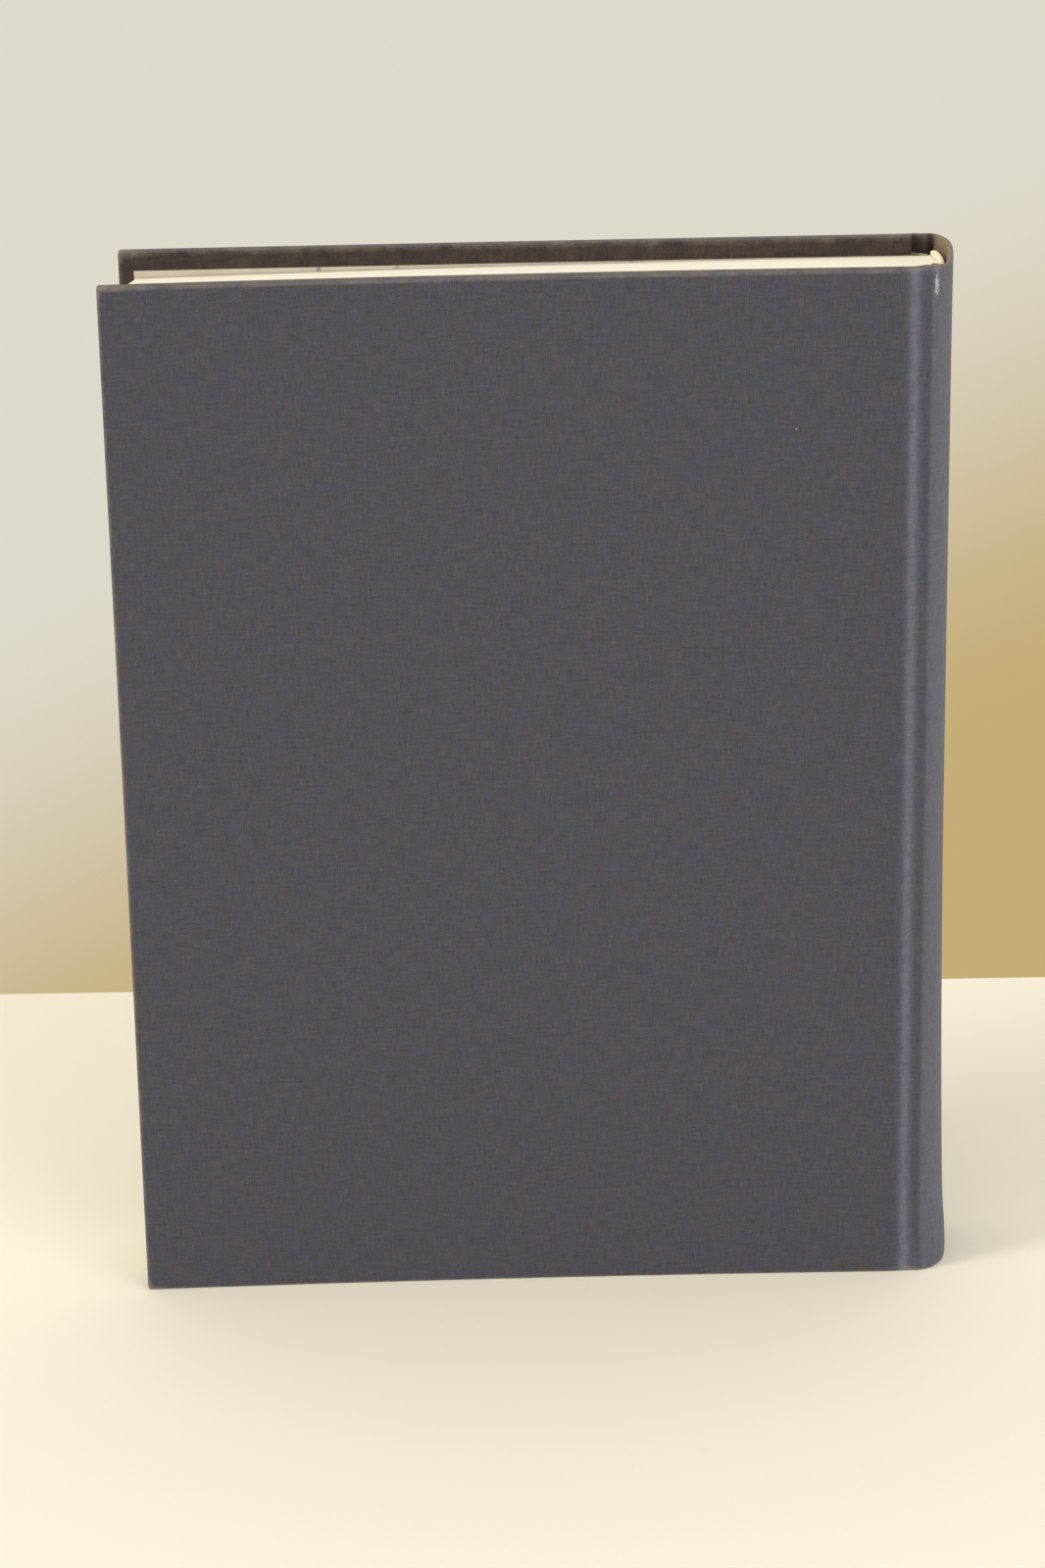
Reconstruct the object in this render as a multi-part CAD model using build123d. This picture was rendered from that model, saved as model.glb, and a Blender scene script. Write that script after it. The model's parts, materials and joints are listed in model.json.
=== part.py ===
# A clothbound hardcover book that stands on its tail edge. All sizes are in millimetres.
# X runs from the fore edge towards the spine, Y from the back cover to the front cover, Z up.
# The whole book is moved at the end so that the origin lies under the middle of its box.

import os
from math import asin, atan2, cos, hypot, radians, sin

from build123d import *

# The pages: a sewn block, rounded and backed, a little thicker at the sewing than at the fore edge
page_height = 276.2
page_width = 204.2
block_thickness = 21.2
fore_edge_thickness = 19.6
fore_edge_shift = 1.25
fore_edge_hollow = 1.4
page_sag = 2.35
sag_half_way = 0.65
shoulder_rise = 1.0
shoulder_run = 1.4
shoulder_round = 1.0

# Endpapers: one folded sheet at each side, half of it pasted on the board
paper_thickness = 0.18
closing_gap = 0.3

# The case: two boards, a card strip in the spine, and one sheet of book cloth round them
board_thickness = 2.9
head_square = 4.8
fore_square = 3.9
board_edge_round = 0.3
board_corner_round = 0.5
cloth_thickness = 0.42
turn_in = 15.0
mitre_slit = 0.16
mitre_depth = 0.3
joint_gap = 6.4
inlay_thickness = 1.0
hollow_back = 0.8
back_board_curl = 4.5
front_board_curl = -0.8
back_splay = -0.22
front_splay = -0.4

# The pressed groove of the joint, seen from above
groove_depth = 2.3
groove_slope_run = 5.3
groove_floor = 1.5
ridge_run = 1.6
ridge_lift = 0.3
ridge_round = 0.65
groove_round = 0.8
slope_round = 3.0
flat_by_groove = 14.0
spine_round = 3.45
spine_lean = 3.75

# Where the cloth of a cover stops and the cloth of the spine begins, at the hinge line
hinge_stand_off = 0.25
split_angle = 22.0
split_gap = 0.3

# Spine linings and bands
mull_thickness = 0.35
lining_thickness = 0.25
lining_margin = 2.0
band_bead = 0.9
band_tongue = 12.0
band_margin = 0.8
band_inset = 0.35

# Levels measured outwards from the middle of the book's thickness
inner_face = block_thickness / 2 + 2 * paper_thickness + closing_gap + cloth_thickness
outer_face = inner_face + board_thickness
cover_face = outer_face + cloth_thickness
turn_in_face = inner_face - cloth_thickness
hinge_level = cover_face + hinge_stand_off

# Heights
book_height = page_height + 2 * head_square
page_foot = head_square
page_head = page_foot + page_height

# Distances from the hinge line towards the fore edge
board_start = joint_gap
board_end = page_width + fore_square - cloth_thickness
cover_end = board_end + cloth_thickness
curl_run = board_end - flat_by_groove

# The circle of the spine, through both ridges, and its centre
ridge_level = cover_face + ridge_lift
half_chord = hypot(ridge_level, spine_lean / 2)
spine_radius = (half_chord ** 2 + spine_round ** 2) / (2 * spine_round)
lean_angle = atan2(spine_lean / 2, ridge_level)
centre_distance = spine_radius - spine_round
centre_x = ridge_run - centre_distance * cos(lean_angle)
centre_y = centre_distance * sin(lean_angle)
inlay_outer = spine_radius - cloth_thickness
inlay_inner = inlay_outer - inlay_thickness
spine_turn_in = inlay_inner - cloth_thickness
block_radius = spine_turn_in - hollow_back
mull_outer = block_radius + mull_thickness
lining_outer = mull_outer + lining_thickness
ridge_angle = asin(half_chord / spine_radius)
inlay_angle = ridge_angle - (cloth_thickness + ridge_round) / spine_radius
shoulder_level = block_thickness / 2 + shoulder_rise
band_angle = asin(shoulder_level / block_radius) - band_margin / block_radius

# A length that reaches past everything near the spine
far = 4 * flat_by_groove


def hinge_x(side):
    return side * spine_lean / 2


def plan(side, along, out):
    # A point seen from above: along from the hinge line, out from the middle of the book.
    return Vector(hinge_x(side) + along, side * out)


def spine_point(radius, angle):
    # A point by the spine's own circle; angle 0 is the crown, negative angles are at the back cover.
    turn = angle - lean_angle
    return Vector(centre_x + radius * cos(turn), centre_y + radius * sin(turn))


def shoulder_tip(side):
    # The outer corner of the pages' shoulder, on the round of their spine.
    turn = asin((side * shoulder_level - centre_y) / block_radius)
    return spine_point(block_radius, turn + lean_angle)


def spine_band(inner, outer, angle):
    # A strip of the spine between two radii, from -angle to angle.
    outer_arc = ThreePointArc(spine_point(outer, -angle), spine_point(outer, 0), spine_point(outer, angle))
    inner_arc = ThreePointArc(spine_point(inner, angle), spine_point(inner, 0), spine_point(inner, -angle))
    return make_face([outer_arc, Line(outer_arc @ 1, inner_arc @ 0), inner_arc, Line(inner_arc @ 1, outer_arc @ 0)])


def closed_face(points):
    edges = [Line(start, end) for start, end in zip(points, points[1:] + points[:1])]
    return make_face(edges)


def slab(face, bottom, top):
    return Pos(0, 0, bottom) * extrude(face, amount=top - bottom)


def case_outline():
    # The outside of the case round the spine: both grooves, both ridges and the round of the spine.
    floor_level = cover_face - groove_depth
    floor_start = ridge_run - groove_depth / 2 - groove_floor
    slope_start = floor_start - groove_slope_run
    edges = []
    corners = {}
    for side in (-1, 1):
        points = [
            plan(side, -2 * flat_by_groove, cover_face),
            plan(side, slope_start, cover_face),
            plan(side, floor_start, floor_level),
            plan(side, floor_start + groove_floor, floor_level),
            spine_point(spine_radius, side * ridge_angle),
        ]
        edges += [Line(start, end) for start, end in zip(points, points[1:])]
        corners[side] = points
    back_ridge = corners[-1][-1]
    front_ridge = corners[1][-1]
    edges.append(ThreePointArc(back_ridge, spine_point(spine_radius, 0), front_ridge))
    edges.append(Line(corners[-1][0], corners[1][0]))
    face = make_face(edges)
    rounds = (None, slope_round, groove_round, groove_round, ridge_round)
    for side in (-1, 1):
        for point, radius in zip(corners[side][1:], rounds[1:]):
            corner = face.vertices().sort_by_distance(point)[0]
            face = fillet(corner, radius)
    return face


def split_direction(side):
    # From the hinge line into the joint, along the line where the joint's cloth is divided.
    turn = radians(split_angle)
    return Vector(-sin(turn), -side * cos(turn))


def fore_side(side, clearance):
    # All of the plan on the fore-edge side of the line where the joint's cloth is divided.
    start = plan(side, 0, hinge_level)
    turn = radians(split_angle)
    inward = split_direction(side)
    across = Vector(-cos(turn), side * sin(turn))
    origin = start + across * clearance
    return closed_face([
        origin - inward * far,
        origin + inward * far,
        origin + inward * far + across * far,
        origin - inward * far + across * far,
    ])


def cover_strip(side, inner, outer, end, curl, corner_round):
    # One layer of a cover beyond the groove, curling outwards towards its fore edge.
    curl_radius = curl_run ** 2 / (2 * curl)
    full_angle = (end - flat_by_groove) / curl_radius

    def curled(out, angle):
        radius = curl_radius - (out - inner_face)
        return plan(side, -flat_by_groove - radius * sin(angle), inner_face + curl_radius - radius * cos(angle))

    def layer(out):
        return ThreePointArc(curled(out, 0), curled(out, full_angle / 2), curled(out, full_angle))

    inner_arc = layer(inner)
    outer_arc = layer(outer)
    face = make_face([
        inner_arc,
        Line(inner_arc @ 1, outer_arc @ 1),
        outer_arc,
        Line(outer_arc @ 0, inner_arc @ 0),
    ])
    if corner_round > 0:
        face = fillet(face.vertices().sort_by(Axis.X)[:2], corner_round)
    return face


def level_box(side, start, end, inner, outer):
    return closed_face([
        plan(side, start, inner),
        plan(side, end, inner),
        plan(side, end, outer),
        plan(side, start, outer),
    ])


def fore_level(side):
    # The pages lean towards the back cover at their fore edge.
    return fore_edge_thickness / 2 - side * fore_edge_shift


def text_block_face():
    # The pages from above: hollow fore edge, flat faces, flared shoulders and a round spine.
    half = block_thickness / 2
    back_fore = plan(-1, -page_width, fore_level(-1))
    front_fore = plan(1, -page_width, fore_level(1))
    middle_fore = (back_fore + front_fore) * 0.5 + Vector(fore_edge_hollow, 0)
    back_tip = shoulder_tip(-1)
    front_tip = shoulder_tip(1)
    back_root = Vector(back_tip.X - shoulder_run, -half)
    front_root = Vector(front_tip.X - shoulder_run, half)
    face = make_face([
        Line(back_fore, back_root),
        Line(back_root, back_tip),
        ThreePointArc(back_tip, spine_point(block_radius, 0), front_tip),
        Line(front_tip, front_root),
        Line(front_root, front_fore),
        ThreePointArc(front_fore, middle_fore, back_fore),
    ])
    for root in (back_root, front_root):
        face = fillet(face.vertices().sort_by_distance(root)[0], shoulder_round)
    return face


def sag_edge(level):
    # The head or tail edge of the pages seen from the side, from beyond the spine to beyond the fore edge.
    fore_x = -page_width - spine_lean / 2
    bend = ThreePointArc((0, level), (fore_x / 2, level - sag_half_way), (fore_x, level - page_sag))
    start = Line((far, level), bend @ 0)
    end = Line(bend @ 1, (fore_x - spine_lean, level - page_sag))
    return [start, bend, end]


def trim_pages(solid):
    # Head and tail edges dip towards the fore edge, because the heavy pages sag there.
    head = sag_edge(page_head)
    foot = sag_edge(page_foot)
    outline = make_face(head + [Line(head[2] @ 1, foot[2] @ 1)] + foot + [Line(foot[0] @ 0, head[0] @ 0)])
    upright = Pos(0, -cover_face, 0) * Rot(90, 0, 0) * outline
    return solid & extrude(upright, amount=2 * cover_face, dir=(0, 1, 0))


def make_text_block():
    tall = slab(text_block_face(), page_foot - page_sag - head_square, page_head + head_square)
    return trim_pages(tall)


def make_flyleaf(side):
    # The loose half of the endpaper, lying on the outermost page and up its shoulder.
    pages = text_block_face()
    grown = offset(pages, amount=paper_thickness)
    tip = shoulder_tip(side)
    fore = plan(side, -page_width, 0)
    window = closed_face([
        Vector(fore.X, side * fore_level(side)),
        Vector(tip.X - paper_thickness, side * (block_thickness / 2 - paper_thickness)),
        Vector(tip.X - paper_thickness, side * cover_face),
        Vector(fore.X, side * cover_face),
    ])
    sheet = (grown - pages) & window
    return trim_pages(slab(sheet, page_foot - page_sag - head_square, page_head + head_square))


def end_edges(skin, side):
    # The head and tail edges of a cover's cloth, without the cut edge in the groove.
    cut = plan(side, 0, hinge_level) + split_direction(side) * (groove_depth + hinge_stand_off + cloth_thickness)
    edges = ShapeList()
    for group in (skin.edges().group_by(Axis.Z)[0], skin.edges().group_by(Axis.Z)[-1]):
        level = group[0].center().Z
        edges += group.sort_by_distance(Vector(cut.X, cut.Y, level))[1:]
    return edges


def make_cover(side, curl, splay):
    outline = case_outline()
    inside = offset(outline, amount=-cloth_thickness)
    divided = fore_side(side, split_gap / 2)

    # The region of the cover near the groove, and what its cloth encloses between the board and the groove.
    near_cover = outline & level_box(side, -flat_by_groove, flat_by_groove, turn_in_face, far) & divided
    near_core = inside & level_box(side, -board_start, flat_by_groove, inner_face, far)
    skin_round = board_corner_round + cloth_thickness
    skin_face = near_cover + cover_strip(side, turn_in_face, cover_face, cover_end, curl, skin_round)

    # The board is flat by the joint and curls from there on.
    board_face = cover_strip(side, inner_face, outer_face, board_end, curl, board_corner_round)
    board_face += level_box(side, -flat_by_groove, -board_start, inner_face, outer_face)
    board = slab(board_face, cloth_thickness, book_height - cloth_thickness)
    board = fillet(board.edges().group_by(Axis.Z)[0] + board.edges().group_by(Axis.Z)[-1], board_edge_round)

    # The cloth wraps the head, tail and fore edges and is turned in on the inner face.
    skin = slab(skin_face, 0, book_height)
    skin = fillet(end_edges(skin, side), board_edge_round + cloth_thickness)
    joint_void = slab(near_core, cloth_thickness, book_height - cloth_thickness)
    window_end = board_end - turn_in
    window = cover_strip(side, 0, inner_face, window_end, curl, 0)
    window += level_box(side, -flat_by_groove, flat_by_groove, 0, inner_face)
    cloth = skin - board - joint_void - slab(window, turn_in, book_height - turn_in)
    for level, tilt in ((0, 1), (book_height, -1)):
        slit = Box(2 * turn_in * 2 ** 0.5, 4 * cloth_thickness, mitre_slit)
        corner = plan(side, -cover_end, turn_in_face)
        cloth -= Pos(corner.X, corner.Y, level) * Rot(0, -45 * tilt, 0) * slit & mitre_zone(side, curl)

    # The pasted half of the endpaper steps down from the turn-ins onto the bare board.
    sheet_end = page_width
    sheet_face = turn_in_face - paper_thickness
    sheet_plan = cover_strip(side, sheet_face, inner_face, sheet_end, curl, 0)
    sheet_plan += level_box(side, -flat_by_groove, flat_by_groove, sheet_face, inner_face) & divided
    paste = slab(sheet_plan, head_square, book_height - head_square)
    rim = turn_in + paper_thickness
    hollow = cover_strip(side, 0, inner_face - paper_thickness, board_end - rim, curl, 0)
    hollow += level_box(side, -flat_by_groove, far, 0, inner_face - paper_thickness)
    paste = paste - cloth - slab(hollow, rim, book_height - rim)

    # Each piece is turned out by the splay of its cover about the hinge line.
    pivot = plan(side, 0, hinge_level)
    swing = Pos(pivot.X, pivot.Y, 0) * Rot(0, 0, -side * splay) * Pos(-pivot.X, -pivot.Y, 0)
    return swing * board, swing * cloth, swing * paste


def mitre_zone(side, curl):
    # Only the inner faces of the turn-ins carry the slit of the mitred corner.
    zone = cover_strip(side, turn_in_face - mitre_depth, turn_in_face + mitre_depth, board_end, curl, 0)
    return slab(zone, cloth_thickness, book_height - cloth_thickness)


def make_spine_inlay():
    return slab(spine_band(inlay_inner, inlay_outer, inlay_angle), cloth_thickness, book_height - cloth_thickness)


def make_spine_cloth():
    # Cloth from groove to groove, turned in over the ends of the spine strip.
    outline = case_outline()
    skin = outline - offset(outline, amount=-cloth_thickness)
    for side in (-1, 1):
        skin -= fore_side(side, -split_gap / 2)
    doubled = skin + spine_band(spine_turn_in, spine_radius - cloth_thickness / 2, inlay_angle)
    cloth = slab(skin, 0, book_height)
    cloth += slab(doubled, 0, turn_in)
    cloth += slab(doubled, book_height - turn_in, book_height)
    return cloth - make_spine_inlay()


def make_band(at_head):
    # A rolled headband: a bead on the page ends and a tongue glued down the spine of the pages.
    level = page_head + band_bead if at_head else page_foot - band_bead
    path_radius = block_radius - band_inset
    path = ThreePointArc(
        spine_point(path_radius, -band_angle),
        spine_point(path_radius, 0),
        spine_point(path_radius, band_angle),
    )
    path = Pos(0, 0, level) * path
    bead = sweep(Plane(origin=path @ 0, z_dir=path % 0) * Circle(band_bead), path=path)
    inner_end = page_head - band_tongue if at_head else page_foot + band_tongue
    tongue = slab(spine_band(block_radius, mull_outer, band_angle), min(inner_end, level), max(inner_end, level))
    return bead + tongue


def make_mull():
    return slab(spine_band(block_radius, mull_outer, band_angle), page_foot + band_tongue, page_head - band_tongue)


def make_lining():
    return slab(spine_band(mull_outer, lining_outer, band_angle), page_foot + lining_margin, page_head - lining_margin)


back_board, back_cloth, back_pastedown = make_cover(-1, back_board_curl, back_splay)
front_board, front_cloth, front_pastedown = make_cover(1, front_board_curl, front_splay)

pieces = {
    "text_block": make_text_block(),
    "back_flyleaf": make_flyleaf(-1),
    "front_flyleaf": make_flyleaf(1),
    "back_board": back_board,
    "back_cover_cloth": back_cloth,
    "back_pastedown": back_pastedown,
    "front_board": front_board,
    "front_cover_cloth": front_cloth,
    "front_pastedown": front_pastedown,
    "spine_inlay": make_spine_inlay(),
    "spine_cloth": make_spine_cloth(),
    "spine_mull": make_mull(),
    "spine_paper_lining": make_lining(),
    "head_band": make_band(True),
    "tail_band": make_band(False),
}

# The origin goes under the middle of the book's box.
box = Compound(children=[Compound(piece.wrapped) for piece in pieces.values()]).bounding_box()
to_origin = Pos(-(box.min.X + box.max.X) / 2, -(box.min.Y + box.max.Y) / 2, -box.min.Z)

os.makedirs("parts", exist_ok=True)
for name, piece in pieces.items():
    export_step(to_origin * piece, f"parts/{name}.step")

for name, side in (("back", -1), ("front", 1)):
    hinge = to_origin.position + plan(side, 0, hinge_level)
    print(name, "hinge line at x", round(hinge.X, 3), "y", round(hinge.Y, 3))
print("book size", [round(value, 2) for value in (box.size.X, box.size.Y, box.size.Z)])
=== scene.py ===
import json
import math

import bpy
import numpy as np
from mathutils import Matrix, Vector, noise


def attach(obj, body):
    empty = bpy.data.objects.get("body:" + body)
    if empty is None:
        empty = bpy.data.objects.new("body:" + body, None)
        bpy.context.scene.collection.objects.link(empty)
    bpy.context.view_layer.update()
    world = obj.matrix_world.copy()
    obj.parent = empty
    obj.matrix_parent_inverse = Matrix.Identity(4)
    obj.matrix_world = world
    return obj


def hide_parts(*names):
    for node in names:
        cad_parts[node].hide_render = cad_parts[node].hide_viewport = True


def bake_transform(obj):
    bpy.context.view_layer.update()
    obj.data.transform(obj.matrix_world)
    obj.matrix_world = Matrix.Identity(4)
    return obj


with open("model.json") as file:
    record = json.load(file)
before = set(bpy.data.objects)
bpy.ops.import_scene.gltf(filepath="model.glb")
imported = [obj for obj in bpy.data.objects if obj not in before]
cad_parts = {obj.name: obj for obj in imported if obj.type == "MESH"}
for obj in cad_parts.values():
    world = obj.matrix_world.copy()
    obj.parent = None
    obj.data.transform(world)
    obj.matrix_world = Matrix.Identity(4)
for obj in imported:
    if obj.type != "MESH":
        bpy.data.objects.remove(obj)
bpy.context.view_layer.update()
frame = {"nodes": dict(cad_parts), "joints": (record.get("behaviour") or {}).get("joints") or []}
mm = 0.001
back, front = -1, 1
print("frame loaded:", len(frame["nodes"]), "nodes")


# Helpers for the work in edit mode

def onlyThis(obj):
    bpy.ops.object.select_all(action="DESELECT")
    obj.select_set(True)
    bpy.context.view_layer.objects.active = obj


def pickFaces(obj, test):
    # leaves only the faces that pass the test selected
    for part in (obj.data.vertices, obj.data.edges):
        part.foreach_set("select", [False] * len(part))
    for face in obj.data.polygons:
        face.select = test(face, [obj.data.vertices[i].co for i in face.vertices])


def pickEdges(obj, test):
    for part in (obj.data.vertices, obj.data.polygons):
        part.foreach_set("select", [False] * len(part))
    for edge in obj.data.edges:
        edge.select = test(*[obj.data.vertices[i].co for i in edge.vertices])


def inEdit(obj, mode, operator, **settings):
    # one edit-mode operator on what is selected
    onlyThis(obj)
    bpy.context.tool_settings.mesh_select_mode = [mode == kind for kind in ("VERT", "EDGE", "FACE")]
    bpy.ops.object.mode_set(mode="EDIT")
    operator(**settings)
    bpy.ops.object.mode_set(mode="OBJECT")


def applyModifier(obj, kind, **settings):
    onlyThis(obj)
    modifier = obj.modifiers.new(kind.title(), kind)
    for name, value in settings.items():
        setattr(modifier, name, value)
    bpy.ops.object.modifier_apply(modifier=modifier.name)


def smoothByAngle(obj, degrees):
    onlyThis(obj)
    bpy.ops.object.shade_smooth_by_angle(angle=math.radians(degrees))


# The case: book cloth round two boards and a spine card; lengths in mm, levels out from the middle of the book

case = {
    "height": 285.8,
    "coverEnd": 208.1,
    "coverLevel": 15.0,
    "turnInLevel": 11.26,
    "boardInside": 11.68,
    "cloth": 0.42,
    "turnIn": 15.0,
    "edgeRound": 0.75,
    "boardStart": 6.4,
    "flatByGroove": 14.0,
    "curl": {back: 4.5, front: -0.8},  # how far the fore edge bends outwards
    "splay": {back: -0.22, front: -0.4},  # degrees that the whole cover turns outwards
    "twist": {back: -0.27, front: 0.0},
    "waviness": 0.05,
    "waveLength": 55,
    "longerAtHead": 0.32,
}
hingeAt = {}
for joint in frame["joints"]:
    hingeAt[back if joint["name"].startswith("back") else front] = Vector(joint["pos_m"][:2]) / mm
middleY = (hingeAt[back].y + hingeAt[front].y) / 2
caseThickness = case["coverLevel"] - case["turnInLevel"]
coverRun = case["coverEnd"] - case["flatByGroove"]

# The spine and its joints: distances from each hinge line, and how the shape changes towards head and tail
spine = {
    "lineStart": -26,
    "slopeStart": {back: -6.35, front: -6.45},
    "floorStart": {back: -1.05, front: -2.8},
    "floorEnd": {back: 0.45, front: -1.4},
    "ridge": {back: 1.8, front: -0.2},
    "ridgeLevel": 15.05,
    "grooveDepth": 1.9,
    "grooveFade": {back: 0.7, front: 0.95},
    "fadeReach": 7.0,
    "crown": 7.1,
    "fullness": 2.6,  # power of the arc: 2 is an ellipse, more is squarer
    "fullerAtEnds": 0.6,
    "fullerAtTail": 1.1,
    "tailFlare": 1.9,
    "tailFlareReach": 150,
    "tailBulge": 0.5,
    "tailBulgeAt": (4, 9),  # its height and its reach
    "headFlare": 0.15,
    "headFlareReach": 10,
    "softness": 0.6,
    "softerAtEnds": 1.9,
    "layers": 1.84,  # cloth, card and turned-in cloth
    "layersAtEnds": 0.95,
    "endReach": 4.5,
    "hollow": 0.8,
    "headcap": 1.6,
    "headcapAt": (-1.5, 2.2),  # its place from the ridge and its reach
    "headLift": 0.8,
    "headLiftAt": (-0.6, 3.4, 3),  # the same, and its reach down from the head
}
step = 0.2  # between the points of a line across the case


def easeBetween(value, low, high):
    t = min(max((value - low) / (high - low), 0.0), 1.0)
    return t * t * (3 - 2 * t)


def ease(values, low, high):
    t = np.clip((values - low) / (high - low), 0, 1)
    return t * t * (3 - 2 * t)


def coverPoint(side, along, level):
    # along is measured from the hinge line, negative towards the fore edge; the board curls past its flat part
    past = -along - case["flatByGroove"]
    if past > 0:
        curlRadius = coverRun ** 2 / (2 * case["curl"][side])
        reach = curlRadius - (level - case["boardInside"])
        turn = past / curlRadius
        along = -case["flatByGroove"] - reach * math.sin(turn)
        level = case["boardInside"] + curlRadius - reach * math.cos(turn)
    return Vector((hingeAt[side].x + along, middleY + side * level))


def jointLine(z, fade, softness):
    # the outside of the case in plan at one height, from the flat of the back cover to that of the front cover
    fromEnd = max(min(z, case["height"] - z), 0)
    ends = math.exp(-(fromEnd / spine["fadeReach"]) ** 1.5)
    bulgeAt, bulgeReach = spine["tailBulgeAt"]
    foot = math.exp(-((z - bulgeAt) / bulgeReach) ** 2)
    crown = spine["crown"] + spine["tailFlare"] * max(0, 1 - z / spine["tailFlareReach"]) ** 2.3
    crown += spine["headFlare"] * math.exp(-max(case["height"] - z, 0) / spine["headFlareReach"])
    crown += hingeAt[back].x + spine["tailBulge"] * foot
    full = spine["fullness"] + spine["fullerAtEnds"] * ends + spine["fullerAtTail"] * foot
    ridges = {side: hingeAt[side].x + spine["ridge"][side] for side in (back, front)}
    halves = {}
    for side in (back, front):
        floor = case["coverLevel"] - spine["grooveDepth"] * (1 - spine["grooveFade"][side] * ends * fade)
        levels = (case["coverLevel"], case["coverLevel"], floor, floor)
        alongs = (spine["lineStart"], spine["slopeStart"][side], spine["floorStart"][side], spine["floorEnd"][side])
        halves[side] = [(hingeAt[side].x + a, middleY + side * l) for a, l in zip(alongs, levels)]
    u = np.linspace(-1, 1, 121)
    base = ridges[back] + (ridges[front] - ridges[back]) * (u + 1) / 2
    middle = (ridges[back] + ridges[front]) / 2
    arc = np.stack([base + (crown - middle) * (1 - np.abs(u) ** full), middleY + u * spine["ridgeLevel"]], 1)
    corners = np.concatenate([halves[back], arc, halves[front][::-1]])
    run = np.concatenate([[0], np.cumsum(np.hypot(*np.diff(corners, axis=0).T))])
    even = np.arange(0, run[-1], step)
    line = np.stack([np.interp(even, run, corners[:, k]) for k in (0, 1)], 1)
    reach = softness / step
    taps = np.arange(-math.ceil(3 * reach), math.ceil(3 * reach) + 1)
    kernel = np.exp(-(taps / reach) ** 2 / 2)
    kernel /= kernel.sum()
    return np.stack([np.convolve(line[:, k], kernel, "same") for k in (0, 1)], 1)


def halfLine(line, side):
    # from the crown to the end of the flat part of one cover, at even shares of the length
    crown = int(np.argmin(np.abs(line[:, 1] - middleY)))
    half = line[crown:] if side == front else line[crown::-1]
    away = hingeAt[side].x - half[:, 0]
    last = int(np.argmax(away >= case["flatByGroove"]))
    half = half[:last + 1].copy()
    half[0, 1] = middleY
    half[-1, 0] = hingeAt[side].x - case["flatByGroove"]
    run = np.concatenate([[0], np.cumsum(np.hypot(*np.diff(half, axis=0).T))])
    even = np.linspace(0, run[-1], 200)
    return np.stack([np.interp(even, run, half[:, k]) for k in (0, 1)], 1), run[-1]


def inwards(line, side, depth):
    # the same line moved in by a depth that may change along it
    tangent = np.gradient(line, axis=0)
    tangent /= np.hypot(*tangent.T)[:, None]
    normal = np.stack([tangent[:, 1], -tangent[:, 0]], 1) * side
    return line - normal * np.broadcast_to(depth, len(line))[:, None]


sections = {}


def section(side, z):
    # the outside and the inside of the case near the spine at one height
    key = (side, round(z, 2))
    if key in sections:
        return sections[key]
    fromEnd = max(min(z, case["height"] - z), 0)
    ends = math.exp(-fromEnd / spine["endReach"])
    outer, length = halfLine(jointLine(z, 1, spine["softness"] + spine["softerAtEnds"] * ends), side)
    crease, _ = halfLine(jointLine(z, 0, spine["softness"]), side)
    s = np.linspace(0, length, len(outer))
    byRidge = outer[:, 0] - hingeAt[side].x > spine["ridge"][side] - 1
    ridgeRun = s[int(np.argmax(np.abs(outer[:, 1] - middleY) * byRidge))]
    layers = spine["layers"] + (spine["layersAtEnds"] - spine["layers"]) * ends
    double = 2 * case["cloth"]
    depth = layers + (double - layers) * ease(s, ridgeRun - 2.0, ridgeRun - 0.8)
    if side == back:
        capAt, capReach = spine["headcapAt"]
        depth = depth + spine["headcap"] * ends ** 2 * np.exp(-((s - ridgeRun - capAt) / capReach) ** 2)
    joint = ease(s, ridgeRun + 0.2, ridgeRun + 1.8)[:, None]
    inner = inwards(outer, side, depth) * (1 - joint) + inwards(crease, side, depth) * joint
    if side == back:
        # the doubled cloth stands up in the joint at head and tail, level with the inside of the board
        raised = joint[:, 0] * easeBetween(ends, 0.42, 0.85)
        level = middleY + side * (case["turnInLevel"] + 0.1)
        inner[:, 1] += (level - inner[:, 1]) * raised
    onBoard = ease(hingeAt[side].x - outer[:, 0], case["boardStart"] - 0.35, case["boardStart"] - 0.1)[:, None]
    flat = np.stack([outer[:, 0], np.full(len(outer), middleY + side * case["turnInLevel"])], 1)
    inner = inner * (1 - onBoard) + flat * onBoard
    sections[key] = {"outer": outer, "inner": inner, "length": length, "ridge": ridgeRun}
    return sections[key]


middleSection = {side: section(side, case["height"] / 2) for side in (back, front)}
zoneLength = {side: middleSection[side]["length"] for side in (back, front)}
clothLength = {side: zoneLength[side] + coverRun for side in (back, front)}


def lengthAt(side, along):
    # the length along the cloth, from the crown of the spine, at which its outside is this far from the hinge line
    away = hingeAt[side].x - middleSection[side]["outer"][:, 0]
    if -along >= case["flatByGroove"]:
        return zoneLength[side] - along - case["flatByGroove"]
    return float(np.interp(-along, away, np.linspace(0, zoneLength[side], len(away))))


def warped(side, point, z):
    # the twist, the waves and the splay of the cover, which begin past its joint
    up = 2 * z / case["height"] - 1
    away = hingeAt[side].x - point.x
    coverShare = easeBetween(away, 0.5, 4.0)
    farShare = max(away - case["flatByGroove"], 0.0) / coverRun
    wave = noise.noise(Vector((point.x / case["waveLength"], side * 7.0, z / case["waveLength"])))
    point.y -= side * case["twist"][side] * up * farShare ** 2
    point.y += side * coverShare * case["waviness"] * wave
    point.x -= case["longerAtHead"] * farShare * max(up, 0.0)
    turn = math.radians(-side * case["splay"][side]) * coverShare
    arm = point - hingeAt[side]
    return hingeAt[side] + Vector((
        arm.x * math.cos(turn) - arm.y * math.sin(turn),
        arm.x * math.sin(turn) + arm.y * math.cos(turn),
    ))


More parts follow.
